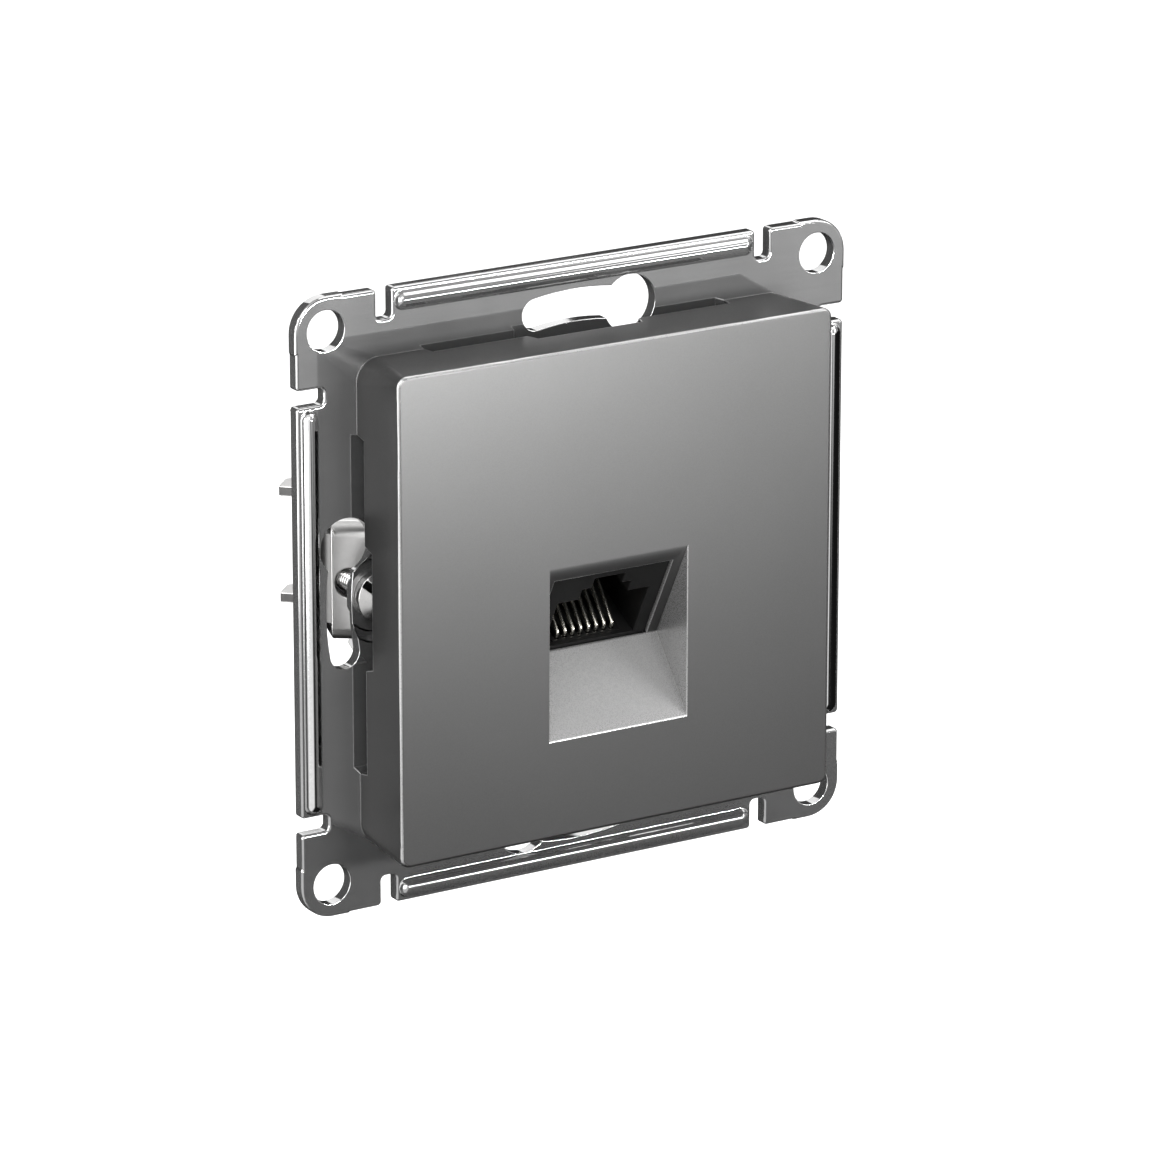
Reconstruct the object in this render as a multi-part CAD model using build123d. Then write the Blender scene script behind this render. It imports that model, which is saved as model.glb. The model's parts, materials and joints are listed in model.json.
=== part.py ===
from build123d import *
from math import cos, radians, sin, tan
import os

# Ethernet socket insert for a round wall box.
# Frame: origin at the centre of the support plate's back face, +X right and +Z up as seen
# from the front, -Y out of the wall towards the user. All sizes in millimetres.

os.makedirs("parts", exist_ok=True)

# General clearances
fit = 0.05
play = 0.15

# Support plate
plate_size = 70.76
plate_t = 1.5
ear_proud = 0.12
ear_size = 6.1
plate_corner_r = 4.0
plate_edge_r = 0.35
hole_edge = 3.705
hole_r = 2.31
slot_edge = 5.2
slot_w = 3.66
slot_end_deg = 9.8
keyhole_deg = 13.3
keyhole_r = 3.3
notch_edge = 10.98
notch_w = 1.9
notch_depth = 3.4
notch_r = 0.6
notch_mouth_r = 0.45
rib_inset = 1.55
rib_w = 2.15
rib_gap = 0.35
rib_h = 0.55
rib_wall = 0.5
rib_taper = 20
rib_edge_r = 0.4
seat_r = 5.2
seat_floor_r = 4.2
seat_depth = 0.9
seat_back_r = 3.4
seat_back_h = 0.5

# Front cover
cover_size = 55.9
cover_depth = 8.95
cover_front_r = 1.1
cover_rear_r = 2.8
cover_inner_r = 1.2
cover_edge_r = 0.4
cover_wall = 1.8
cover_face = 2.0
step_half = 19.1
step_depth = 1.45
step_run = 0.3
window_half = 6.6
window_depth = 2.95
window_run = 0.5
leg_x = 11.0
leg_z = 20.6
leg_w = 4.6
leg_t = 1.4
leg_reach = 2.4
leg_nose = 0.6
leg_nose_h = 1.8

# Slanted recess in the cover
recess_w = 17.9
recess_top = 3.4
recess_bottom = -16.6
recess_wall = 1.4
ramp_tilt = 38.4

# Jack, measured from the recess plane inwards and down it
jack_tilt = 28.6
jack_w = 15.2
jack_h = 13.2
jack_top = 2.2
jack_depth = 14.95
jack_inset = 0.3
plug_w = 11.84
plug_top = 6.2
plug_h = 6.8
plug_depth = 12.2
latch_w = 6.3
latch_h = 1.55
tab_w = 3.9
tab_h = 1.45
peg_r = 1.2
peg_gap = 0.3
peg_drop = 5.0
peg_tip = 0.4

# Contacts of the jack
contact_n = 8
contact_pitch = 1.02
wire_r = 0.23
wire_drop = 14.15
wire_nose = 1.5
wire_rise = 12.3
wire_end_depth = 10.8
wire_end_drop = 7.9
wire_bend_r = 0.42
wire_tail = 0.7
insert_w = 8.7
insert_h = 1.9
insert_front = 0.9
insert_wall = 0.3
insert_floor = 0.4
groove_w = 0.6

# Circuit board and wire terminals
board_gap = 2.2
board_h = 27.0
board_top = -2.5
board_t = 1.6
idc_edge = 1.0
idc_aisle = 6.5
idc_h = 8.6
idc_mid = 11.6
idc_n = 4
idc_pitch = 4.2
idc_end = 1.5
idc_gap = 1.3
idc_gap_depth = 6.2
blade_t = 0.5
blade_w = 2.5
blade_sink = 0.8
blade_slot = 0.45
blade_fork = 5.2
pin_w = 0.7
pin_tail = 0.5
cap_t = 1.3
cap_skirt = 3.2
cap_wall = 0.9
cap_slot_depth = 2.4
cap_dimple = 0.4
cap_dimple_w = 2.4

# Carrier
carrier_gap = 1.35
carrier_wall = 1.6
carrier_bevel = 4.0
flange_t = 1.8
flange_top = 17.2
flange_bottom = -16.2
flange_r = 2.5
tunnel_gap = 0.5
collar_wall = 1.5
collar_r = 1.0
hook_nose = 0.6
hook_h = 0.75
hook_len = 7.0
lip_h = 0.8
lip_w = 0.8
lip_len = 4.0
lip_inset = 6.0
ledge_w = 1.4

# Claws, their screws and nuts
claw_y = 1.2
claw_z = 0.65
claw_lever = 5.1
claw_tilt = 34.5
claw_open = 25.0
claw_t = 1.2
claw_h = 13.7
claw_bend_r = 1.6
web_in = 1.7
web_out = 8.55
knuckle_r = 1.1
knuckle_len = 8.6
arm_w = 4.3
shoulder_run = 4.7
shoulder_y = 12.0
tooth_run = 5.15
tooth_y = 21.2
tooth_h = 1.15
tooth_back = 1.0
saddle_end = 0.8
saddle_depth = 1.0
saddle_lip = 0.3
screw_inset = 5.03
screw_r = 1.2
screw_end = 13.5
screw_point = 0.4
screw_head_r = 2.9
screw_head_h = 1.9
screw_dome_h = 0.9
screw_flat_r = 1.6
drive_w = 0.9
drive_depth = 0.9
drive_turn = 40
screw_fit = 0.08
web_hole_h = 3.44
nut_r = 2.0

# Places that follow from the sizes above
plate_front = -plate_t
hole_pitch = plate_size - 2 * hole_edge
box_screw_r = plate_size / 2 - slot_edge
notch_offset = plate_size / 2 - notch_edge
rib_len = 2 * (notch_offset - notch_w / 2 - rib_gap)
screw_x = box_screw_r - screw_inset
claw_x = screw_x - claw_lever
shoulder_x = claw_x + shoulder_run
tooth_x = claw_x + tooth_run
carrier_w = 2 * (claw_x - carrier_gap)
board_w = carrier_w - 2 * board_gap
idc_w = board_w / 2 - idc_edge - idc_aisle
idc_x = idc_aisle + idc_w / 2
peg_x = idc_aisle - peg_r - peg_gap
cover_front = plate_front - cover_depth
cover_inner = cover_front + cover_face
recess_frame = Pos(0, cover_front, recess_top) * Rot(X=jack_tilt)
jack_low = jack_top + jack_h
jack_back = jack_inset + jack_depth
plug_low = plug_top + plug_h
board_back = jack_back + board_t
board_low = board_top + board_h
tunnel_half = jack_w / 2 + tunnel_gap
idc_half = (idc_n - 1) / 2 * idc_pitch + (idc_pitch - idc_gap) / 2 + idc_end
idc_drops = [idc_mid + (k - (idc_n - 1) / 2) * idc_pitch for k in range(idc_n)]
contact_x = [(i - (contact_n - 1) / 2) * contact_pitch for i in range(contact_n)]


def block(x0, x1, y0, y1, z0, z1):
    """Box between two corners."""
    return Pos((x0 + x1) / 2, (y0 + y1) / 2, (z0 + z1) / 2) * Box(abs(x1 - x0), abs(y1 - y0), abs(z1 - z0))


def slant_box(x0, x1, depth0, depth1, drop0, drop1):
    """Box in the jack's frame: depth goes in from the recess plane, drop goes down along it."""
    return recess_frame * block(x0, x1, depth0, depth1, -drop0, -drop1)


def slant_point(depth, drop):
    """Y and Z of a point in the jack's frame."""
    a = radians(jack_tilt)
    return (cover_front + depth * cos(a) + drop * sin(a), recess_top + depth * sin(a) - drop * cos(a))


def slant_rod(x, depth0, depth1, drop, radius):
    """Round rod that runs in along the plug's direction."""
    rod = Cylinder(radius, depth1 - depth0, align=(Align.CENTER, Align.CENTER, Align.MIN))
    return recess_frame * Pos(x, depth0, -drop) * Rot(X=-90) * rod


def front_sketch(sketch, y):
    """Lay a sketch drawn as seen from the front into the plane at depth y."""
    return Plane(origin=(0, y, 0), x_dir=(1, 0, 0), z_dir=(0, -1, 0)) * sketch


def side_prism(points, x0, x1):
    """Prism along X from a closed outline of (y, z) points."""
    outline = make_face(Polyline(*[(x0, y, z) for y, z in points], close=True))
    return extrude(outline, amount=x1 - x0, dir=(1, 0, 0))


# Support plate
def plate_outline():
    full = plate_size + 2 * ear_proud
    half = plate_size / 2
    outline = RectangleRounded(full, full, plate_corner_r)
    ears = [Pos(i * full / 2, j * full / 2) * Rectangle(2 * ear_size, 2 * ear_size) for i in (-1, 1) for j in (-1, 1)]
    outline &= Rectangle(plate_size, plate_size) + ears
    for turn in range(4):
        for offset in (-notch_offset, notch_offset):
            outline -= Rot(Z=90 * turn) * Pos(offset, half) * RectangleRounded(notch_w, 2 * notch_depth, notch_r)
    mouths = []
    for corner in outline.vertices():
        across, along = sorted((abs(corner.X), abs(corner.Y)))
        if abs(along - half) < 0.01 and abs(abs(across - notch_offset) - notch_w / 2) < 0.01:
            mouths.append(corner)
    return fillet(mouths, notch_mouth_r)


def keyhole_slots():
    """Four arc slots for the box screws, each opening into a round hole for the screw's head."""
    middle = CenterArc((0, 0), box_screw_r, 90 - keyhole_deg, keyhole_deg + slot_end_deg)
    keyhole = Rot(Z=90 - keyhole_deg) * Pos(box_screw_r, 0) * Circle(keyhole_r)
    slots = Sketch()
    for turn in range(4):
        slots += Rot(Z=90 * turn) * (SlotArc(middle, slot_w) + keyhole)
    return slots


def leg_slots():
    """Holes in the plate that the cover's snap legs pass through, with room to bend inwards."""
    high = leg_z + leg_t + fit
    low = leg_z - leg_nose - play
    slots = Sketch()
    for i in (-1, 1):
        for j in (-1, 1):
            slots += Pos(i * leg_x, j * (high + low) / 2) * Rectangle(leg_w + 2 * play, high - low)
    return slots


def make_support_plate():
    sheet = extrude(front_sketch(plate_outline(), 0), amount=plate_t)
    sheet = fillet(sheet.faces().sort_by(Axis.Y)[0].outer_wire().edges(), plate_edge_r)
    for turn in range(4):
        place = Rot(Z=90 * turn) * Pos(0, plate_size / 2 - rib_inset)
        outline = front_sketch(place * SlotOverall(rib_len, rib_w), plate_front)
        bead = extrude(outline, amount=rib_h, taper=rib_taper)
        dent = place * SlotOverall(rib_len - 2 * rib_wall, rib_w - 2 * rib_wall)
        sheet += fillet(bead.faces().sort_by(Axis.Y)[0].edges(), rib_edge_r)
        sheet -= extrude(front_sketch(dent, 0), amount=rib_h, taper=rib_taper)
    holes = keyhole_slots() + leg_slots() + collar_outline(fit)
    for i in (-1, 1):
        middle = Pos(i * screw_x, claw_z)
        holes += middle * Circle(screw_r + screw_fit)
        sheet += extrude(front_sketch(middle * Circle(seat_back_r), seat_back_h), amount=seat_back_h + fit)
        sheet -= loft([front_sketch(middle * Circle(seat_floor_r), plate_front + seat_depth),
                       front_sketch(middle * Circle(seat_r), plate_front)])
        for j in (-1, 1):
            holes += Pos(i * hole_pitch / 2, j * hole_pitch / 2) * Circle(hole_r)
    return sheet - extrude(front_sketch(holes, plate_t), amount=3 * plate_t)


# Front cover with its slanted recess and snap legs
def recess_outline(grow, front):
    """V-shaped side outline of the recess, open at depth front, grown into the cover by a wall."""
    a, b = radians(jack_tilt), radians(ramp_tilt)
    run = (grow * (sin(a) + sin(b)) + (recess_top - recess_bottom) * sin(a) * sin(b)) / sin(a + b)
    high = recess_top + (grow - (front - cover_front) * cos(a)) / sin(a)
    low = recess_bottom - (grow - (front - cover_front) * cos(b)) / sin(b)
    tip = recess_top + (grow - run * cos(a)) / sin(a)
    return [(front, high), (cover_front + run, tip), (front, low)]


def recess_drop():
    """Distance down the upper plane of the recess from the face to its deepest line."""
    return (recess_outline(0, cover_front)[1][0] - cover_front) / sin(radians(jack_tilt))


def wall_cut():
    """Stepped opening along the rear edge of one wall, over the trim frame and the claw screw."""
    rear = plate_front
    half = [(window_half, window_depth), (window_half + window_run, step_depth),
            (step_half, step_depth), (step_half + step_run, 0)]
    right = [(u, rear - d) for u, d in half] + [(step_half + step_run, rear + plate_t)]
    left = [(-u, y) for u, y in reversed(right)]
    outline = make_face(Polyline(*[(u, y, cover_size / 2 + play) for u, y in left + right], close=True))
    return extrude(outline, amount=cover_wall + 2 * play, dir=(0, 0, -1))


def snap_leg(i, j):
    """Leg that runs back through the plate and ends in a wedge-shaped nose behind it."""
    outer = leg_z + leg_t
    root = cover_inner - cover_face / 2
    crest = fit + leg_reach - leg_nose_h
    outline = [(root, leg_z), (leg_reach, leg_z), (leg_reach, outer - leg_nose / 2),
               (crest, outer + leg_nose), (fit, outer + leg_nose), (fit, outer), (root, outer)]
    return side_prism([(y, j * z) for y, z in outline], i * leg_x - leg_w / 2, i * leg_x + leg_w / 2)


def make_front_cover():
    rear = front_sketch(RectangleRounded(cover_size, cover_size, cover_rear_r), plate_front)
    front = front_sketch(RectangleRounded(cover_size, cover_size, cover_front_r), cover_front)
    cover = loft([rear, front])
    cover = fillet(cover.faces().sort_by(Axis.Y)[0].edges(), cover_edge_r)
    inner = cover_size - 2 * cover_wall
    hollow = front_sketch(RectangleRounded(inner, inner, cover_inner_r), 0)
    cover -= extrude(hollow, amount=-cover_inner)
    half = recess_w / 2
    reach = half + 2 * recess_wall
    pocket = side_prism(recess_outline(recess_wall, cover_inner), -half - recess_wall, half + recess_wall)
    pocket -= block(-reach, reach, plate_front - hook_h - 2 * play, 0, recess_top, recess_bottom)
    pocket -= slant_box(-reach, reach, jack_inset - fit, jack_depth, recess_drop() - fit, jack_low + recess_drop())
    cover += pocket
    cover -= side_prism(recess_outline(0, cover_front - 1), -half, half)
    window = jack_w / 2 + fit
    cover -= slant_box(-window, window, -recess_wall, 2 * recess_wall, jack_top - fit, recess_drop())
    for turn in range(4):
        cover -= Rot(Y=90 * turn) * wall_cut()
    for i in (-1, 1):
        for j in (-1, 1):
            cover += snap_leg(i, j)
    return cover


# Carrier behind the plate
def collar_outline(grow):
    """Outline of the carrier's collar where it passes through the plate, grown by a clearance."""
    width = 2 * (tunnel_half + collar_wall + grow)
    front_y = plate_front - hook_h
    a = radians(jack_tilt)
    low_depth = (front_y - cover_front - (jack_low + tunnel_gap) * sin(a)) / cos(a)
    top_depth = (0 - cover_front - (jack_top - tunnel_gap) * sin(a)) / cos(a)
    low = slant_point(low_depth, jack_low + tunnel_gap)[1] - collar_wall / 2 - grow
    high = slant_point(top_depth, jack_top - tunnel_gap)[1] + collar_wall / 2 + grow
    return Pos(0, (low + high) / 2) * RectangleRounded(width, high - low, collar_r + grow)


def carrier_body():
    """Wedge-shaped body whose back is parallel to the board."""
    low = board_low + carrier_wall
    rim = board_back + lip_h
    high_y, high_z = slant_point(rim, board_top - carrier_wall)
    low_y, low_z = slant_point(rim - carrier_bevel, low)
    outline = [(fit, high_z), (high_y, high_z), slant_point(rim, low), (low_y, low_z), (fit, low_z)]
    body = side_prism(outline, -carrier_w / 2, carrier_w / 2)
    flange = Pos(0, (flange_top + flange_bottom) / 2) * RectangleRounded(carrier_w, flange_top - flange_bottom, flange_r)
    return body + extrude(front_sketch(flange, fit + flange_t), amount=flange_t)


def carrier_pockets():
    """Two hollows beside the jack, between the flange and the board."""
    floor = fit + flange_t
    a = radians(jack_tilt)
    top_drop = (floor + ledge_w * sin(a) - cover_front - jack_back * cos(a)) / sin(a)
    top = slant_point(jack_back, top_drop)
    low = slant_point(jack_back, board_low - ledge_w)
    outline = [(floor, top[1]), top, low, (floor, low[1])]
    inner = tunnel_half + collar_wall
    outer = board_w / 2 - ledge_w
    return side_prism(outline, -outer, -inner) + side_prism(outline, inner, outer)


def collar_hooks():
    """Wedge hooks on the collar's two sides, in front of the plate."""
    box = collar_outline(0).bounding_box()
    rear = plate_front - fit
    front = plate_front - hook_h
    hooks = []
    for i in (-1, 1):
        edge = i * box.max.X
        wedge = [(edge - i * fit, rear), (edge + i * hook_nose, rear), (edge, front), (edge - i * fit, front)]
        face = make_face(Polyline(*[(x, y, box.center().Y - hook_len / 2) for x, y in wedge], close=True))
        hooks.append(extrude(face, amount=hook_len, dir=(0, 0, 1)))
    return hooks


def claw_saddle(i):
    """Block beside the body with a groove for the claw's rolled edge, open outwards and closed at its ends."""
    end = knuckle_len / 2 + fit
    back = claw_y + knuckle_r + fit + saddle_depth
    saddle = block(i * (carrier_w / 2 - carrier_wall), i * (claw_x + saddle_lip), fit, back,
                   -end - saddle_end, end + saddle_end)
    saddle -= Pos(i * claw_x, claw_y, 0) * Cylinder(knuckle_r + fit, 2 * end)
    return Pos(0, 0, claw_z) * (saddle - block(i * claw_x, i * (claw_x + knuckle_r), 0, claw_y, -end, end))


def make_carrier():
    body = carrier_body() - carrier_pockets()
    half = board_w / 2 + fit
    body -= slant_box(-half, half, jack_back - fit, 2 * board_back, board_top - fit, board_low + fit)
    for i in (-1, 1):
        for drop in (board_top + lip_inset, board_low - lip_inset):
            body += slant_box(i * (board_w / 2 - lip_w), i * (half + fit), board_back + fit, board_back + lip_h,
                              drop - lip_len / 2, drop + lip_len / 2)
    body += extrude(front_sketch(collar_outline(0), fit + flange_t), amount=fit + flange_t + plate_t + hook_h)
    for hook in collar_hooks():
        body += hook
    body -= slant_box(-tunnel_half, tunnel_half, -jack_depth, board_back, jack_top - tunnel_gap, jack_low + tunnel_gap)
    for i in (-1, 1):
        body += claw_saddle(i)
    return body


# Jack housing, contact insert and contact wires
def make_jack_housing():
    half = jack_w / 2
    housing = slant_box(-half, half, jack_inset, jack_back, jack_top, jack_low)
    latch_top = plug_top - latch_h
    housing -= slant_box(-plug_w / 2, plug_w / 2, 0, plug_depth, plug_top, plug_low)
    housing -= slant_box(-latch_w / 2, latch_w / 2, 0, plug_depth, latch_top, plug_top + fit)
    housing -= slant_box(-tab_w / 2, tab_w / 2, 0, plug_depth, latch_top - tab_h, latch_top + fit)
    slot = insert_w / 2 + fit
    housing -= slant_box(-slot, slot, insert_front - fit, jack_back + fit, plug_low - fit, plug_low + insert_h + fit)
    for i in (-1, 1):
        housing += slant_rod(i * peg_x, jack_back - fit, board_back + peg_tip, peg_drop, peg_r)
    return housing


def make_contact_insert():
    half = insert_w / 2
    low = plug_low + insert_h
    insert = slant_box(-half, half, insert_front, jack_back - fit, plug_low, low)
    for x in contact_x:
        insert -= slant_box(x - groove_w / 2, x + groove_w / 2, insert_front + insert_wall, jack_back,
                            plug_low - fit, low - insert_floor)
    return insert


def make_contact_wire(x):
    """Spring contact: in from the board along its groove, up at the mouth and back into the plug's space."""
    corners = [(board_back + wire_tail, wire_drop), (wire_nose, wire_drop),
               (wire_nose, wire_rise), (wire_end_depth, wire_end_drop)]
    path = FilletPolyline(*[(x, depth, -drop) for depth, drop in corners], radius=wire_bend_r)
    section = Plane(origin=path @ 0, z_dir=path % 0) * Circle(wire_r)
    return recess_frame * sweep(section, path=path)


# Circuit board and wire terminals
def make_circuit_board():
    board = slant_box(-board_w / 2, board_w / 2, jack_back, board_back, board_top, board_low)
    for x in contact_x:
        board -= slant_rod(x, jack_back - fit, board_back + fit, wire_drop, wire_r + fit)
    for i in (-1, 1):
        board -= slant_rod(i * peg_x, jack_back - fit, board_back + fit, peg_drop, peg_r + fit)
        for drop in idc_drops:
            board -= slant_rod(i * idc_x, jack_back - fit, board_back + fit, drop, pin_w / 2 + fit)
    return board


def make_idc_block(i):
    """Terminal block: a row of four gaps for the wires, each crossed by a slit for its blade."""
    mid = i * idc_x
    top = board_back + idc_h
    body = slant_box(mid - idc_w / 2, mid + idc_w / 2, board_back, top, idc_mid - idc_half, idc_mid + idc_half)
    slit_t = blade_t / 2 + fit
    slit_w = blade_w / 2 + fit
    for drop in idc_drops:
        body -= slant_box(mid - idc_w, mid + idc_w, top - idc_gap_depth, top + 1, drop - idc_gap / 2, drop + idc_gap / 2)
        body -= slant_box(mid - slit_t, mid + slit_t, board_back - 1, top + 1, drop - slit_w, drop + slit_w)
    return body


def make_idc_contact(i, drop):
    """Slotted blade that bites a wire, with a pin through the board."""
    mid = i * idc_x
    top = board_back + idc_h - blade_sink
    blade = slant_box(mid - blade_t / 2, mid + blade_t / 2, board_back, top, drop - blade_w / 2, drop + blade_w / 2)
    blade -= slant_box(mid - blade_t, mid + blade_t, top - blade_fork, top + 1,
                       drop - blade_slot / 2, drop + blade_slot / 2)
    pin = slant_box(mid - blade_t / 2, mid + blade_t / 2, jack_back - pin_tail, board_back + fit,
                    drop - pin_w / 2 + fit, drop + pin_w / 2 - fit)
    return blade + pin


def make_idc_cap(i):
    mid = i * idc_x
    top = board_back + idc_h + fit
    inner = idc_w / 2 + fit
    outer = inner + cap_wall
    cap = slant_box(mid - outer, mid + outer, top - cap_skirt, top + cap_t, idc_mid - idc_half, idc_mid + idc_half)
    cap -= slant_box(mid - inner, mid + inner, 0, top, idc_mid - 2 * idc_half, idc_mid + 2 * idc_half)
    for drop in idc_drops:
        cap -= slant_box(mid - 2 * outer, mid + 2 * outer, 0, top - cap_skirt + cap_slot_depth,
                         drop - idc_gap / 2, drop + idc_gap / 2)
        cap -= slant_box(mid - cap_dimple_w / 2, mid + cap_dimple_w / 2, top + cap_t - cap_dimple, top + cap_t + 1,
                         drop - cap_dimple_w / 2, drop + cap_dimple_w / 2)
    return cap


# Claws
def claw_point(along, off):
    """Point of the left claw at rest: along its web from the pivot, off towards its back."""
    a = radians(claw_tilt)
    return (-claw_x - along * cos(a) + off * sin(a), claw_y + along * sin(a) + off * cos(a))


def nut_place(tilt):
    """Depth of the nut's axis when the claw's web stands at this tilt and rests on it."""
    a = radians(tilt)
    return claw_y + (nut_r + claw_t / 2 + play) / cos(a) + (screw_x - claw_x) * tan(a)


def claw_strip():
    """The claw's bent strip, endless along its bends: an upright web with an arm back from each end."""
    a = radians(claw_tilt)
    long = 2 * tooth_y
    across = Plane(origin=(-claw_x, claw_y, 0), x_dir=(sin(a), cos(a), 0), z_dir=(-cos(a), sin(a), 0))
    outer = Pos(long / 2 - claw_t / 2) * RectangleRounded(long, claw_h, claw_bend_r)
    inner = Pos(long / 2 + claw_t / 2) * RectangleRounded(long, claw_h - 2 * claw_t, claw_bend_r - claw_t)
    return extrude(across * (outer - inner), amount=long)


def claw_hole():
    """Hole in the web, long enough for the upright screw to stay clear over the claw's swing."""
    reach = screw_x - claw_x
    rest, last = radians(claw_tilt), radians(claw_tilt - claw_open)
    side = claw_t / 2
    far = reach / cos(rest) + screw_r / cos(rest) + side * tan(rest) + screw_fit
    near = reach / cos(last) - screw_r / cos(last) - side * tan(last) - screw_fit
    slot = front_sketch(SlotOverall(far - near, web_hole_h), claw_t)
    swing = Pos(-claw_x, claw_y, 0) * Rot(Z=-claw_tilt) * Pos(-(far + near) / 2, 0, 0)
    return swing * extrude(slot, amount=2 * claw_t)


def make_claw():
    side = claw_t / 2
    heel = tooth_y + tooth_h + tooth_back
    root = tooth_x - tooth_h
    inner = tooth_x - arm_w
    outline = [claw_point(web_in, -claw_t), claw_point(web_out, -claw_t), claw_point(web_out, side),
               (-shoulder_x, shoulder_y), (-root, tooth_y - tooth_h), (-tooth_x, tooth_y), (-root, tooth_y + tooth_h),
               (-root + tooth_back, heel), (-inner - tooth_back, heel), (-inner, heel - tooth_back),
               (-inner, shoulder_y), claw_point(web_in, side)]
    side_view = make_face(Polyline(*[(x, y, -claw_h) for x, y in outline], close=True))
    claw = claw_strip() & extrude(side_view, amount=2 * claw_h, dir=(0, 0, 1))
    tongue = block(-web_in - fit, 0, -side, side, -knuckle_len / 2, knuckle_len / 2)
    claw += Pos(-claw_x, claw_y, 0) * (Rot(Z=-claw_tilt) * tongue + Cylinder(knuckle_r, knuckle_len))
    return claw - claw_hole()


def make_claw_screw():
    seat = plate_front + seat_depth - fit
    face = seat - screw_head_h
    rim = face + screw_dome_h
    side_view = make_face(Polyline((0, face), (screw_flat_r, face), (screw_head_r, rim), (screw_head_r, seat),
                                   (screw_r, seat), (screw_r, screw_end - screw_point),
                                   (screw_r - screw_point, screw_end), (0, screw_end), close=True))
    screw = revolve(side_view, Axis.Y)
    screw -= block(-screw_head_r, screw_head_r, face - fit, face + drive_depth, -drive_w / 2, drive_w / 2)
    screw -= block(-drive_w / 2, drive_w / 2, face - fit, face + drive_depth, -screw_flat_r, screw_flat_r)
    return Pos(-screw_x, 0, 0) * Rot(Y=drive_turn) * screw


def make_claw_nut():
    """Cylindrical cross nut that lies between the claw's arms, threaded on the screw."""
    nut = Cylinder(nut_r, claw_h - 2 * claw_bend_r - 2 * fit)
    nut -= Rot(X=90) * Cylinder(screw_r + fit, 3 * nut_r)
    return Pos(-screw_x, nut_place(claw_tilt), 0) * nut


# Write every piece
nodes = {
    "support_plate": make_support_plate(),
    "front_cover": make_front_cover(),
    "carrier": make_carrier(),
    "jack_housing": make_jack_housing(),
    "contact_insert": make_contact_insert(),
    "circuit_board": make_circuit_board(),
}
for i, x in enumerate(contact_x):
    nodes[f"contact_wire_{i + 1}"] = make_contact_wire(x)
for name, i in (("left", -1), ("right", 1)):
    nodes[f"idc_block_{name}"] = make_idc_block(i)
    nodes[f"idc_cap_{name}"] = make_idc_cap(i)
    for k, drop in enumerate(idc_drops):
        nodes[f"idc_contact_{name}_{k + 1}"] = make_idc_contact(i, drop)
for piece, shape in (("claw", make_claw()), ("claw_screw", make_claw_screw()), ("claw_nut", make_claw_nut())):
    nodes[f"{piece}_left"] = Pos(0, 0, claw_z) * shape
    nodes[f"{piece}_right"] = mirror(nodes[f"{piece}_left"], about=Plane.YZ)

for name, shape in nodes.items():
    export_step(shape, f"parts/{name}.step")
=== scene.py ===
import json
from math import cos, pi, radians, sin

import bmesh
import bpy
import numpy as np
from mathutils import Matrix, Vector


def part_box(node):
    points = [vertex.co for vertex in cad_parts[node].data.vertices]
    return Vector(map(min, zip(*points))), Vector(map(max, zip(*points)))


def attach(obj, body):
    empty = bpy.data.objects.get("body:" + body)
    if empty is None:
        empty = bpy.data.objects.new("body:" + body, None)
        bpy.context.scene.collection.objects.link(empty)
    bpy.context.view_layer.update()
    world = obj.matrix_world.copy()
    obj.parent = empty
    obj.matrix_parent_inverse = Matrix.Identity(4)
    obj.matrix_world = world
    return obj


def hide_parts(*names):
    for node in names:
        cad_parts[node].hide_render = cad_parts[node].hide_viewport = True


# Ethernet socket insert. Row frame in metres: +X right, +Z up, -Y towards the user.
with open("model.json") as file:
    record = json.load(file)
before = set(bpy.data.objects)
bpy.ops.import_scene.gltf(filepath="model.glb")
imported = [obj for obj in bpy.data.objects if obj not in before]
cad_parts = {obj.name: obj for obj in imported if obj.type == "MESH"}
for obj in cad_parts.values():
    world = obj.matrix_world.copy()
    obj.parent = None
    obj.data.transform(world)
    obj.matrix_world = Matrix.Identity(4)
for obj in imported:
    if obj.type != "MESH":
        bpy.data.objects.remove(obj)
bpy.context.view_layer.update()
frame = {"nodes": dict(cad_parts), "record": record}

mm = 0.001
nodes = frame["nodes"]
record = frame["record"]
body_of = {n: body for body, names in record["behaviour"]["bodies"].items() for n in names}
slot_of = {part["node"]: part["material_slot"] for part in record["subparts"]}

# Camera of the photograph
camera_place = (-0.37583, -0.61269, 0.22455)
camera_turn = (72.545, 0, -31.575)
camera_lens = 211.22
camera_sensor = 36.0

# Floor below the object: its size, its colour and the glow that the camera alone sees
floor_z = -0.16
floor_size = 6
floor_grey = 0.86
floor_glow = 0.7

# Surroundings as reflections show them. Each zone has a direction, the part of it over which the
# zone's edge runs, and its levels before and after that edge.
white_side = (-0.85, 0.0, 0.25)
white_from = (-0.1, 0.3)
white_levels = (0.0, 1.0)
behind_side = (0.0, 1.0, 0.0)
behind_from = (0.1, 0.4)
behind_levels = (1.0, 0.06)
grey_side = (0.25, -0.5, 0.85)
grey_from = (0.249, 0.364)
grey_levels = (0.01, 0.8)
high_side = (0.0, 0.0, 1.0)
high_from = (-0.15, 0.3)
high_levels = (1.0, 0.5)
world_light = 0.35

# Grain of the moulded and the plated finishes in millimetres
moulded_grain = 0.25
plated_grain = 0.15

# Inputs of a Map Range node
range_sockets = ("From Min", "From Max", "To Min", "To Max")

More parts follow.
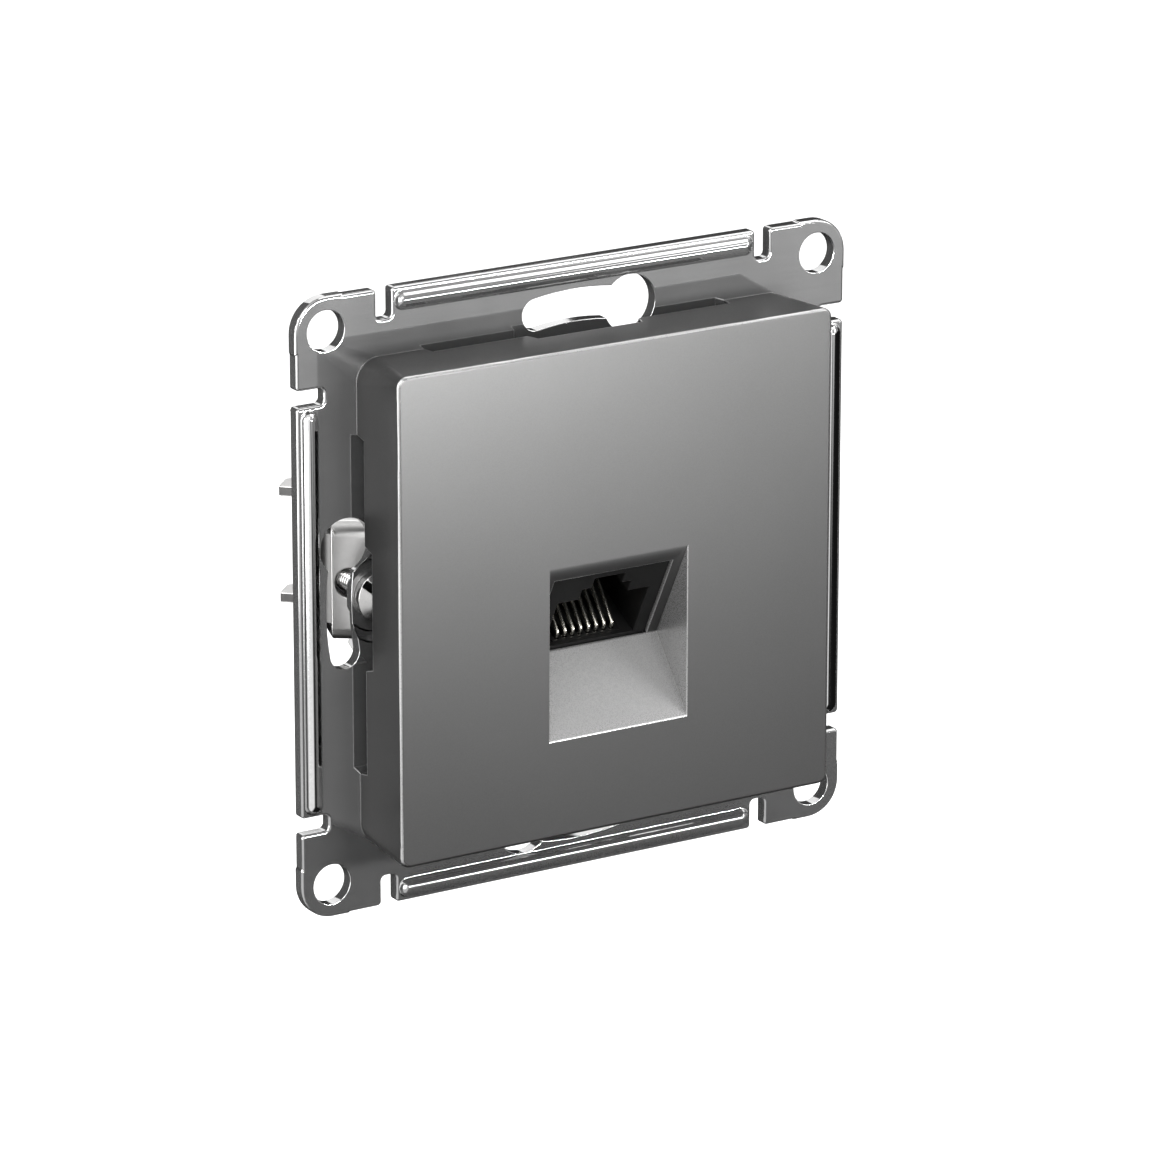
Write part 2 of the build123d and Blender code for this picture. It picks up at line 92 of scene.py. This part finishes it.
# Lamps: name, place, sides, power in watts, target
lamps = [
    ("near_a", (0.03, -0.16, 0.012), (0.06, 0.02), 0.25, (0, 0, 0)),
    ("near_d", (0.12, -0.2, 0.012), (0.06, 0.02), 0.175, (0, 0, 0)),
    ("key", (-0.5, -0.5, 0.6), (0.4, 0.4), 3.5, (0, 0, 0)),
    ("right", (0.6, -0.4, 0.4), (0.4, 0.4), 2.2, (0, 0, 0)),
    ("left", (-0.5, -0.12, 0.08), (0.5, 0.46), 2.7, (0, -0.12, 0.08)),
    ("top", (0.22, 0.0, 0.5), (0.35, 0.35), 1.25, (0, 0, 0)),
    ("back", (0.2, 0.7, 0.5), (0.5, 0.5), 1.5, (0, 0, 0)),
]

# Claw screws and their threads, in millimetres
head_height = 1.9
shank_r = 1.2
thread_pitch = 0.45
thread_depth = 0.22
thread_neck = 0.7
thread_point = 0.7
thread_taper = 0.7
thread_flank = 1.25
thread_inside = 0.2
thread_rows = 8
thread_sides = 32

# Jack's frame and the solder on the board, in millimetres
jack_tilt = 28.6
face_y = -10.45
recess_z = 3.4
board_back = 16.85
wire_count = 8
wire_pitch = 1.02
wire_drop = 14.15
solder_sides = 16
solder_profile = [(0.48, -0.01), (0.47, 0.03), (0.36, 0.1), (0.28, 0.25), (0.24, 0.42), (0.2, 0.43)]

# Mesh clean-up: welding distance in metres, angles that count as an edge, as smooth and as flat
weld = 2e-7
edge_deg = 32.0
edge_segments = 2
smooth_deg = 48.0
flat_deg = 5.0

# How finely normals, and distances in millimetres, tell one flat from another
normal_steps = 400
plane_step = 0.01

# The plate's beads, in millimetres: depth where they begin, centre lines, half width and half length,
# and how far their sides lean in degrees
bead_front = -1.52
bead_line = 33.83
bead_half = 1.075
bead_reach = 22.02
bead_lean = 80.0

# Where faces get painted light or a finish of their own, in millimetres and by the lean of their normals:
# brighter copies on rounded edges and the cover's upward-facing rims and recess faces (painted highlight),
# near-black on the claws' deep side faces (painted shade), and the claw nuts' own darker steel
cover_rim_y = -10.0
rim_lean = (0.3, 0.95)
recess_box = ((-9.7, -10.42, -17.2), (9.7, -1.5, 3.7))
overhang = -0.3
claw_shade_y = 9.0
shaded_side_lean = 0.3
edge_highlight = {"zinc_steel": "zinc_painted_highlight", "cover_silver": "cover_painted_highlight"}
own_finish = {"claw_nut": "nut_steel"}

# Which of a piece's materials a face has: its own finish, the copy that paints a highlight or shade, and
# the cover's lighter recess copy
main, edge, extra = 0, 1, 2


def feed(tree, value, socket):
    """Join a pattern to a socket, or put a constant into it."""
    if isinstance(value, bpy.types.NodeSocket):
        tree.links.new(value, socket)
    else:
        socket.default_value = value


def math_node(tree, operation, *values):
    """Math node with patterns or numbers as its inputs in turn."""
    node = tree.nodes.new("ShaderNodeMath")
    node.operation = operation
    for socket, value in zip(node.inputs, values):
        feed(tree, value, socket)
    return node.outputs["Value"]


class Finish:
    """A material built round one Principled shader, with its patterns sized in metres."""

    def __init__(self, name, color, roughness, metallic=0.0, specular=0.5):
        self.material = bpy.data.materials.new(name)
        self.material.use_nodes = True
        self.tree = self.material.node_tree
        self.shader = self.tree.nodes["Principled BSDF"]
        self.place = self.new("ShaderNodeTexCoord").outputs["Object"]
        self.set("Base Color", (*color, 1.0))
        self.set("Roughness", roughness)
        self.set("Metallic", metallic)
        self.set("Specular IOR Level", specular)

    def new(self, kind):
        return self.tree.nodes.new(kind)

    def join(self, source, target):
        self.tree.links.new(source, target)

    def set(self, name, value):
        """Set one of the shader's sockets, or join a pattern to it."""
        feed(self.tree, value, self.shader.inputs[name])

    def stretched(self, stretch):
        """Object coordinates squeezed along each axis, so that a pattern runs along the others."""
        node = self.new("ShaderNodeMapping")
        node.inputs["Scale"].default_value = stretch
        self.join(self.place, node.inputs["Vector"])
        return node.outputs["Vector"]

    def noise(self, size, detail=2.0, rough=0.5, stretch=None):
        """Cloudy pattern from 0 to 1 with features of this size."""
        node = self.new("ShaderNodeTexNoise")
        node.inputs["Scale"].default_value = 1 / size
        node.inputs["Detail"].default_value = detail
        node.inputs["Roughness"].default_value = rough
        self.join(self.stretched(stretch) if stretch else self.place, node.inputs["Vector"])
        return node.outputs["Fac"]

    def flakes(self, size):
        """Cells of this size: two random values for each."""
        node = self.new("ShaderNodeTexVoronoi")
        node.inputs["Scale"].default_value = 1 / size
        self.join(self.place, node.inputs["Vector"])
        split = self.new("ShaderNodeSeparateColor")
        self.join(node.outputs["Color"], split.inputs["Color"])
        return split.outputs["Red"], split.outputs["Green"]

    def level(self, pattern, low, high, start=0.0, end=1.0):
        """Map a pattern between start and end to values from low to high."""
        node = self.new("ShaderNodeMapRange")
        self.join(pattern, node.inputs["Value"])
        for name, value in zip(range_sockets, (start, end, low, high)):
            node.inputs[name].default_value = value
        return node.outputs["Result"]

    def blend(self, pattern, low, high):
        """Colour between two colours, as a pattern goes from 0 to 1."""
        node = self.new("ShaderNodeMix")
        node.data_type = "RGBA"
        self.join(pattern, node.inputs["Factor"])
        for name, value in (("A", low), ("B", high)):
            socket = [s for s in node.inputs if s.name == name and s.type == "RGBA"][0]
            constant = isinstance(value, tuple)
            feed(self.tree, (*value, 1.0) if constant else value, socket)
        return [s for s in node.outputs if s.type == "RGBA"][0]

    def bump(self, pattern, depth):
        """Surface relief of a pattern, of this depth in metres."""
        node = self.new("ShaderNodeBump")
        node.inputs["Distance"].default_value = depth
        node.inputs["Strength"].default_value = 1.0
        self.join(pattern, node.inputs["Height"])
        self.set("Normal", node.outputs["Normal"])


# Finishes
def grey(value, warm=0.0):
    """Grey of this value, slightly warm if asked."""
    return (value * (1 + warm), value, value * (1 - warm))


def zinc_steel():
    """Rolled sheet, zinc plated: cloudy, with faint streaks along the roll."""
    f = Finish("zinc_steel", grey(0.4), 0.06, metallic=0.87)
    clouds = f.noise(7 * mm, detail=4)
    streaks = f.noise(0.5 * mm, detail=3, stretch=(0.05, 1, 1))
    cloud_share = math_node(f.tree, "MULTIPLY", clouds, 0.65)
    streak_share = math_node(f.tree, "MULTIPLY", streaks, 0.35)
    tone = f.level(math_node(f.tree, "ADD", cloud_share, streak_share), low=0, high=1, start=0.3, end=0.7)
    f.set("Base Color", f.blend(tone, low=grey(0.38), high=grey(0.44)))
    f.set("Roughness", f.level(clouds, low=0.05, high=0.08, start=0.3, end=0.7))
    f.bump(f.noise(0.16 * mm, detail=2), depth=0.0004 * mm)
    return f.material


def zinc_painted_highlight():
    """Brighter copy of the plate's zinc: a painted highlight on its rounded edges and on its upright beads.
    """
    f = Finish("zinc_painted_highlight", grey(0.72), 0.08, metallic=1.0)
    f.set("Base Color", f.blend(f.noise(0.5 * mm, detail=3), low=grey(0.66), high=grey(0.8)))
    f.set("Roughness", f.level(f.noise(0.3 * mm), low=0.06, high=0.11))
    return f.material


def cover_silver(name, low, high, flake, roughness, spread=0.25, metallic=0.9):
    """Aluminium-coloured lacquer with fine metal flake: a lower spread makes the flakes fainter."""
    f = Finish(name, grey(high), roughness, metallic=metallic, specular=0.4)
    tone, tilt = f.flakes(0.06 * mm)
    base = f.blend(f.noise(14 * mm, detail=3), low=grey(low, 0.004), high=grey(high, 0.004))
    f.set("Base Color", f.blend(f.level(tone, low=0, high=spread), low=base, high=grey(flake)))
    f.set("Roughness", f.level(tilt, low=roughness - 0.03, high=roughness + 0.03))
    f.bump(f.noise(0.3 * mm, detail=2), depth=0.0008 * mm)
    return f.material


def moulded(name, low, high, roughness, depth=0.003, specular=0.5):
    """Moulded plastic with a fine eroded grain and slight clouding, its depth in millimetres."""
    f = Finish(name, grey(high), roughness, specular=specular)
    f.set("Base Color", f.blend(f.noise(4 * mm, detail=4), low=grey(low), high=grey(high)))
    f.set("Roughness", f.level(f.noise(1.5 * mm, detail=3), low=roughness - 0.05, high=roughness + 0.06))
    f.bump(f.noise(moulded_grain * mm, detail=2), depth=depth * mm)
    return f.material


def board_green():
    """Solder mask over copper tracks, which show as slightly raised and lighter lanes."""
    f = Finish("board_green", (0.02, 0.13, 0.06), 0.3, specular=0.5)
    lanes = f.noise(2.2 * mm, detail=1, stretch=(1, 0.3, 0.3))
    tracks = f.level(lanes, low=0, high=1, start=0.47, end=0.53)
    f.set("Base Color", f.blend(tracks, low=(0.012, 0.085, 0.04), high=(0.03, 0.17, 0.08)))
    f.set("Roughness", f.level(f.noise(0.4 * mm), low=0.22, high=0.36))
    f.bump(tracks, depth=0.02 * mm)
    return f.material


def plated(name, low, high, roughness):
    """Plated small part: tone clouds and fine drawing marks."""
    f = Finish(name, high, roughness, metallic=1.0)
    f.set("Base Color", f.blend(f.noise(0.9 * mm, detail=4), low, high))
    marks = f.noise(plated_grain * mm, detail=3, stretch=(1, 0.2, 1))
    f.set("Roughness", f.level(marks, low=roughness - 0.05, high=roughness + 0.08))
    f.bump(f.noise(plated_grain * mm, detail=2), depth=0.0006 * mm)
    return f.material


def wire_plating():
    """Thin gold over nickel on the drawn contact wires."""
    f = Finish("gold_contact", (0.7, 0.67, 0.6), 0.2, metallic=1.0)
    clouds = f.noise(1.6 * mm, detail=3)
    f.set("Base Color", f.blend(clouds, low=(0.64, 0.61, 0.54), high=(0.74, 0.72, 0.66)))
    f.set("Roughness", f.level(f.noise(0.5 * mm, detail=2), low=0.16, high=0.26))
    return f.material


finishes = {
    "zinc_steel": zinc_steel(),
    "zinc_painted_highlight": zinc_painted_highlight(),
    "cover_silver": cover_silver("cover_silver", 0.089, 0.099, flake=0.135, roughness=0.4),
    # Brighter copy of the cover's lacquer: a painted highlight on its rounded edges and upward-facing rims
    "cover_painted_highlight": cover_silver("cover_painted_highlight", 0.3, 0.34, flake=0.5, roughness=0.3),
    # Lighter copy of the cover's lacquer: painted light on the upward-facing faces inside the recess
    "cover_recess_painted_light": cover_silver("cover_recess_painted_light", 0.2, 0.22, flake=0.28, roughness=0.28, spread=0.2,
                                 metallic=0.55),
    "carrier_grey": moulded("carrier_grey", 0.5, 0.56, 0.5),
    "jack_black": moulded("jack_black", 0.004, 0.007, 0.4, depth=0.002, specular=0.15),
    "board_green": board_green(),
    "block_grey": moulded("block_grey", 0.62, 0.68, 0.45),
    "cap_white": moulded("cap_white", 0.72, 0.78, 0.42),
    "claw_steel": plated("claw_steel", grey(0.58, 0.01), grey(0.7, 0.01), 0.3),
    # Near-black copy of the claw's steel: painted shade on the arms' deep side faces
    "claw_painted_shade": plated("claw_painted_shade", grey(0.06, 0.01), grey(0.1, 0.01), 0.3),
    "nut_steel": plated("nut_steel", grey(0.12, 0.01), grey(0.17, 0.01), 0.35),
    "screw_steel": plated("screw_steel", grey(0.45, 0.01), grey(0.6, 0.01), 0.22),
    "gold_contact": wire_plating(),
    "tinned_contact": plated("tinned_contact", grey(0.55), grey(0.68), 0.3),
}

# Width of each node's rounded edges in millimetres
edge_round = {
    "support_plate": 0.1,
    "front_cover": 0.12,
    "carrier": 0.15,
    "jack_housing": 0.15,
    "contact_insert": 0.06,
    "circuit_board": 0.05,
    "idc_block": 0.12,
    "idc_cap": 0.15,
    "idc_contact": 0.05,
    "claw_screw": 0.08,
    "claw_nut": 0.12,
    "claw": 0.16,
    "contact_wire": 0.04,
}


def family(node):
    """The entry of edge_round that a node belongs to."""
    return max((key for key in edge_round if node.startswith(key)), key=len)


def clean_mesh(node):
    """The node's solid as a welded mesh, a claw screw without its plain shank."""
    mesh = bmesh.new()
    mesh.from_mesh(nodes[node].data)
    bmesh.ops.remove_doubles(mesh, verts=mesh.verts, dist=weld)
    if family(node) == "claw_screw":
        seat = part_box(node)[0][1] + head_height * mm
        shank = [v for v in mesh.verts if v.co.y > seat + weld]
        bmesh.ops.delete(mesh, geom=shank, context="VERTS")
    return mesh


def to_object(name, mesh):
    """Object in the scene made from a bmesh, which is freed."""
    data = bpy.data.meshes.new(name)
    mesh.to_mesh(data)
    mesh.free()
    piece = bpy.data.objects.new(name, data)
    bpy.context.scene.collection.objects.link(piece)
    return piece


def settle(piece):
    """Apply a piece's modifiers to its mesh."""
    graph = bpy.context.evaluated_depsgraph_get()
    data = bpy.data.meshes.new_from_object(piece.evaluated_get(graph))
    piece.modifiers.clear()
    piece.data = data


def level_slivers(data, normals):
    """Give a tilted triangle, whose two longest sides lie between faces of one flat, the flat's normal."""
    def length(key):
        return (data.vertices[key[0]].co - data.vertices[key[1]].co).length

    sides = {}
    for face in data.polygons:
        for key in face.edge_keys:
            sides.setdefault(key, []).append(face.index)
    parallel = cos(radians(flat_deg))
    levelled = {}
    for face in data.polygons:
        if len(face.vertices) != 3:
            continue
        longest = sorted(face.edge_keys, key=length)[1:]
        over = [i for key in longest for i in sides[key] if i != face.index]
        if len(over) != 2:
            continue
        one, two = normals[over[0]], normals[over[1]]
        if one @ two > parallel > normals[face.index] @ one > 0:
            levelled[face.index] = one
    for index, normal in levelled.items():
        normals[index] = normal


def lay_normals(data):
    """For each corner the mean normal of the faces round it, the widest flat weighing most.

    Flats so stay flat beside rounded edges. Faces past the smoothing angle don't count.
    """
    count = len(data.polygons)
    normals = np.empty(count * 3)
    data.polygons.foreach_get("normal", normals)
    normals = normals.reshape(-1, 3)
    level_slivers(data, normals)
    areas = np.empty(count)
    data.polygons.foreach_get("area", areas)
    centres = np.empty(count * 3)
    data.polygons.foreach_get("center", centres)
    offsets = (normals * centres.reshape(-1, 3)).sum(axis=1)
    steps = np.round(normals * normal_steps), np.round(offsets / (plane_step * mm))
    keys = np.column_stack(steps).astype(np.int64)
    _, plane = np.unique(keys, axis=0, return_inverse=True)
    weight = np.bincount(plane.ravel(), weights=areas)[plane.ravel()] ** 2
    around = [[] for _ in data.vertices]
    for face in data.polygons:
        for v in face.vertices:
            around[v].append(face.index)
    limit = cos(radians(smooth_deg))
    laid = []
    for face in data.polygons:
        own = normals[face.index]
        for v in face.vertices:
            near = np.array(around[v])
            near = near[normals[near] @ own > limit]
            total = (normals[near] * weight[near, None]).sum(axis=0)
            length = np.linalg.norm(total)
            laid.append(tuple(total / length) if length > 0 else tuple(own))
    return laid


def finish_claw(data):
    """Painted shade: a near-black copy of the claw's steel on the side faces of the arms and their teeth
    that lie deep behind the plate.
    """
    data.materials.append(finishes["claw_painted_shade"])
    for face in data.polygons:
        shaded_side = face.center.y > claw_shade_y * mm and abs(face.normal.z) < shaded_side_lean
        face.material_index = edge if shaded_side else main


def arch_beads(data, laid):
    """Lay the plate's beads as round ridges; the upright ones get the brighter zinc copy, a painted
    highlight.
    """
    corner = 0
    for face in data.polygons:
        corners = range(corner, corner + len(face.vertices))
        corner += len(face.vertices)
        centre = face.center / mm
        if centre.y > bead_front:
            continue
        across, along = (0, 2) if abs(centre.x) > abs(centre.z) else (2, 0)
        # Upright beads take the brighter zinc copy as a painted highlight; beads along X keep the plate's
        # own zinc
        face.material_index = edge if along == 2 else main
        for i, v in zip(corners, face.vertices):
            spot = data.vertices[v].co / mm
            line = bead_line if centre[across] > 0 else -bead_line
            off = Vector((0, 0, 0))
            off[across] = spot[across] - line
            off[along] = spot[along] - max(-bead_reach, min(bead_reach, spot[along]))
            lean = radians(bead_lean) * min(1, off.length / bead_half)
            if off.length > 0:
                laid[i] = tuple(off.normalized() * sin(lean) + Vector((0, -cos(lean), 0)))
            else:
                laid[i] = (0, -1, 0)


def finish_cover(data):
    """Painted light on the cover: a brighter lacquer copy on the upward-facing rims of its face as a
    painted highlight, and a lighter copy on the upward-facing faces inside its recess.
    """
    data.materials.append(finishes["cover_recess_painted_light"])
    low, high = recess_box
    for face in data.polygons:
        centre, normal = face.center / mm, face.normal
        lit = normal.z > overhang
        inside = all(low[i] < centre[i] < high[i] for i in range(3))
        if face.material_index == main and inside:
            # Upward-facing faces in the recess take the lighter copy as painted light; the others keep the
            # dark lacquer
            face.material_index = extra if lit else main
        # Upward-facing rims of the face take the brighter copy as a painted highlight; downward-facing ones
        # keep the plain lacquer
        elif centre.y < cover_rim_y and rim_lean[0] < -normal.y < rim_lean[1]:
            face.material_index = edge if lit else main


def dress(node):
    """Stand a copy with rounded edges in for a solid."""
    piece = to_object(f"{node}_body", clean_mesh(node))
    data = piece.data
    for name in ("custom_normal", "sharp_edge", "sharp_face"):
        if name in data.attributes:
            data.attributes.remove(data.attributes[name])
    data.materials.clear()
    data.materials.append(finishes[own_finish.get(family(node), slot_of[node])])
    # The plate and the cover add a brighter copy of their finish, which the bevel's rounded faces take as a
    # painted highlight
    if slot_of[node] in edge_highlight:
        data.materials.append(finishes[edge_highlight[slot_of[node]]])
    for face in data.polygons:
        face.material_index = main
    bevel = piece.modifiers.new("edges", "BEVEL")
    bevel.width = edge_round[family(node)] * mm
    bevel.segments = edge_segments
    bevel.limit_method = "ANGLE"
    bevel.angle_limit = radians(edge_deg)
    # Known fault: unclamped, the rounding folds some thin triangles over and draws two stray points
    # out of each claw beside its hinge edge
    bevel.use_clamp_overlap = False
    bevel.loop_slide = True
    # Rounded faces take the last material: for the plate and the cover, the painted-highlight copy
    bevel.material = len(data.materials) - 1
    settle(piece)
    laid = lay_normals(piece.data)
    if node == "front_cover":
        finish_cover(piece.data)
    elif node == "support_plate":
        arch_beads(piece.data, laid)
    elif family(node) == "claw":
        finish_claw(piece.data)
    piece.data.shade_smooth()
    piece.data.normals_split_custom_set(laid)
    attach(piece, body_of[node])
    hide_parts(node)


def finish_piece(name, mesh, body, slot, *stands_for):
    """A smooth added piece that rides on a body."""
    piece = to_object(name, mesh)
    piece.data.materials.append(finishes[slot])
    piece.data.shade_smooth()
    piece.data.set_sharp_from_angle(angle=radians(smooth_deg))
    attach(piece, body)
    if stands_for:
        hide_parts(*stands_for)


def thread_radius(y, turn, start, end):
    """Radius of the shank at depth y and at this part of a turn, with its neck and point."""
    phase = ((y - start) / thread_pitch - turn) % 1
    depth = thread_depth * min(1, abs(2 * phase - 1) * thread_flank)
    depth *= min(1, max(0, (y - start - thread_neck) / thread_pitch))
    point = max(0, y - (end - thread_point)) / thread_point
    return shank_r - max(depth, thread_point * thread_taper * point)


def add_thread(node):
    """Threaded shank of a claw screw, from inside its head to its point."""
    low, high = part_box(node)
    x, z = (low[0] + high[0]) / 2, (low[2] + high[2]) / 2
    start, end = low[1] / mm + head_height - thread_inside, high[1] / mm
    rows = round((end - start) / thread_pitch * thread_rows)
    mesh = bmesh.new()
    rings = []
    for k in range(rows + 1):
        y = start + (end - start) * k / rows
        ring = []
        for c in range(thread_sides):
            turn = c / thread_sides
            r = thread_radius(y, turn, start, end) * mm
            a = 2 * pi * turn
            ring.append(mesh.verts.new((x + r * cos(a), y * mm, z + r * sin(a))))
        rings.append(ring)
    for one, two in zip(rings, rings[1:]):
        for c in range(thread_sides):
            d = (c + 1) % thread_sides
            mesh.faces.new((one[c], two[c], two[d], one[d]))
    mesh.faces.new(rings[0])
    mesh.faces.new(reversed(rings[-1]))
    bmesh.ops.recalc_face_normals(mesh, faces=mesh.faces)
    finish_piece(f"{node}_thread", mesh, body_of[node], slot_of[node], node)


def slanted(x, depth, drop):
    """Row-frame point of one given in millimetres along and below the jack's tilted axis."""
    a = radians(jack_tilt)
    y = face_y + depth * cos(a) + drop * sin(a)
    z = recess_z + depth * sin(a) - drop * cos(a)
    return Vector((x, y, z)) * mm


def add_solder():
    """Solder cones round the eight contact wires where they come through the board."""
    mesh = bmesh.new()
    inward = (slanted(0, 1, 0) - slanted(0, 0, 0)).normalized()
    across = Vector((1, 0, 0))
    up = inward.cross(across)
    angles = [2 * pi * c / solder_sides for c in range(solder_sides)]
    outward = [across * cos(a) + up * sin(a) for a in angles]
    for i in range(wire_count):
        foot = slanted((i - (wire_count - 1) / 2) * wire_pitch, board_back, wire_drop)
        rings = []
        for r, h in solder_profile:
            rings.append([mesh.verts.new(foot + inward * h * mm + out * r * mm) for out in outward])
        for one, two in zip(rings, rings[1:]):
            for c in range(solder_sides):
                d = (c + 1) % solder_sides
                mesh.faces.new((one[c], one[d], two[d], two[c]))
    bmesh.ops.recalc_face_normals(mesh, faces=mesh.faces)
    finish_piece("solder_joints", mesh, body_of["circuit_board"], "tinned_contact")


for node in nodes:
    dress(node)
for side in ("left", "right"):
    add_thread(f"claw_screw_{side}")
add_solder()


# Studio
def soft_light(name, place, size, power, target):
    """Rectangular lamp turned towards its target, unseen by the camera."""
    lamp = bpy.data.lights.new(name, "AREA")
    lamp.shape = "RECTANGLE"
    lamp.size, lamp.size_y = size
    lamp.energy = power
    thing = bpy.data.objects.new(name, lamp)
    thing.location = place
    thing.visible_camera = False
    bpy.context.scene.collection.objects.link(thing)
    aim = Vector(target) - Vector(thing.location)
    thing.rotation_euler = aim.to_track_quat("-Z", "Y").to_euler()


def world_zone(tree, side, start_end, levels):
    """Soft-edged part of the surroundings: a level that changes along one direction."""
    place = tree.nodes.new("ShaderNodeTexCoord")
    toward = tree.nodes.new("ShaderNodeVectorMath")
    toward.operation = "DOT_PRODUCT"
    toward.inputs[1].default_value = side
    tree.links.new(place.outputs["Generated"], toward.inputs[0])
    zone = tree.nodes.new("ShaderNodeMapRange")
    zone.interpolation_type = "SMOOTHSTEP"
    for name, value in zip(range_sockets, (*start_end, *levels)):
        zone.inputs[name].default_value = value
    tree.links.new(toward.outputs["Value"], zone.inputs["Value"])
    return zone.outputs[0]


def make_world():
    """White to the camera; in reflections white at the front left, grey in front and above, dark behind."""
    world = bpy.data.worlds.new("studio")
    world.use_nodes = True
    tree = world.node_tree
    tree.nodes.clear()
    white = math_node(tree, "MULTIPLY", world_zone(tree, white_side, white_from, white_levels),
                      world_zone(tree, behind_side, behind_from, behind_levels))
    middle = math_node(tree, "MULTIPLY", world_zone(tree, grey_side, grey_from, grey_levels),
                       world_zone(tree, high_side, high_from, high_levels))
    around = math_node(tree, "MAXIMUM", white, middle)
    ray = tree.nodes.new("ShaderNodeLightPath").outputs
    mirrored = math_node(tree, "MAXIMUM", ray["Is Glossy Ray"], ray["Is Transmission Ray"])
    shown = math_node(tree, "MAXIMUM", math_node(tree, "MULTIPLY", mirrored, around), ray["Is Camera Ray"])
    either = math_node(tree, "MAXIMUM", mirrored, ray["Is Camera Ray"])
    as_light = math_node(tree, "MULTIPLY", math_node(tree, "SUBTRACT", 1.0, either), world_light)
    sky = tree.nodes.new("ShaderNodeBackground")
    tree.links.new(math_node(tree, "ADD", shown, as_light), sky.inputs["Strength"])
    sky.inputs["Color"].default_value = (1, 1, 1, 1)
    out = tree.nodes.new("ShaderNodeOutputWorld")
    tree.links.new(sky.outputs[0], out.inputs["Surface"])
    bpy.context.scene.world = world


def make_floor():
    """Pale floor that the camera sees as white where no shadow falls on it."""
    bpy.ops.mesh.primitive_plane_add(size=floor_size, location=(0, 0, floor_z))
    floor = bpy.context.object
    floor.name = "floor"
    floor.visible_glossy = False
    material = bpy.data.materials.new("pale_floor")
    material.use_nodes = True
    tree = material.node_tree
    shader = tree.nodes["Principled BSDF"]
    shader.inputs["Base Color"].default_value = (*grey(floor_grey), 1)
    shader.inputs["Roughness"].default_value = 0.9
    shader.inputs["Specular IOR Level"].default_value = 0.0
    shader.inputs["Emission Color"].default_value = (1, 1, 1, 1)
    path = tree.nodes.new("ShaderNodeLightPath")
    glow = math_node(tree, "MULTIPLY", path.outputs["Is Camera Ray"], floor_glow)
    tree.links.new(glow, shader.inputs["Emission Strength"])
    floor.data.materials.append(material)


make_world()
make_floor()
for lamp in lamps:
    soft_light(*lamp)

camera_data = bpy.data.cameras.new("camera")
camera_data.lens = camera_lens
camera_data.sensor_width = camera_sensor
camera = bpy.data.objects.new("camera", camera_data)
camera.location = camera_place
camera.rotation_euler = [radians(a) for a in camera_turn]
bpy.context.scene.collection.objects.link(camera)
bpy.context.scene.camera = camera
bpy.context.scene.view_settings.view_transform = "Standard"
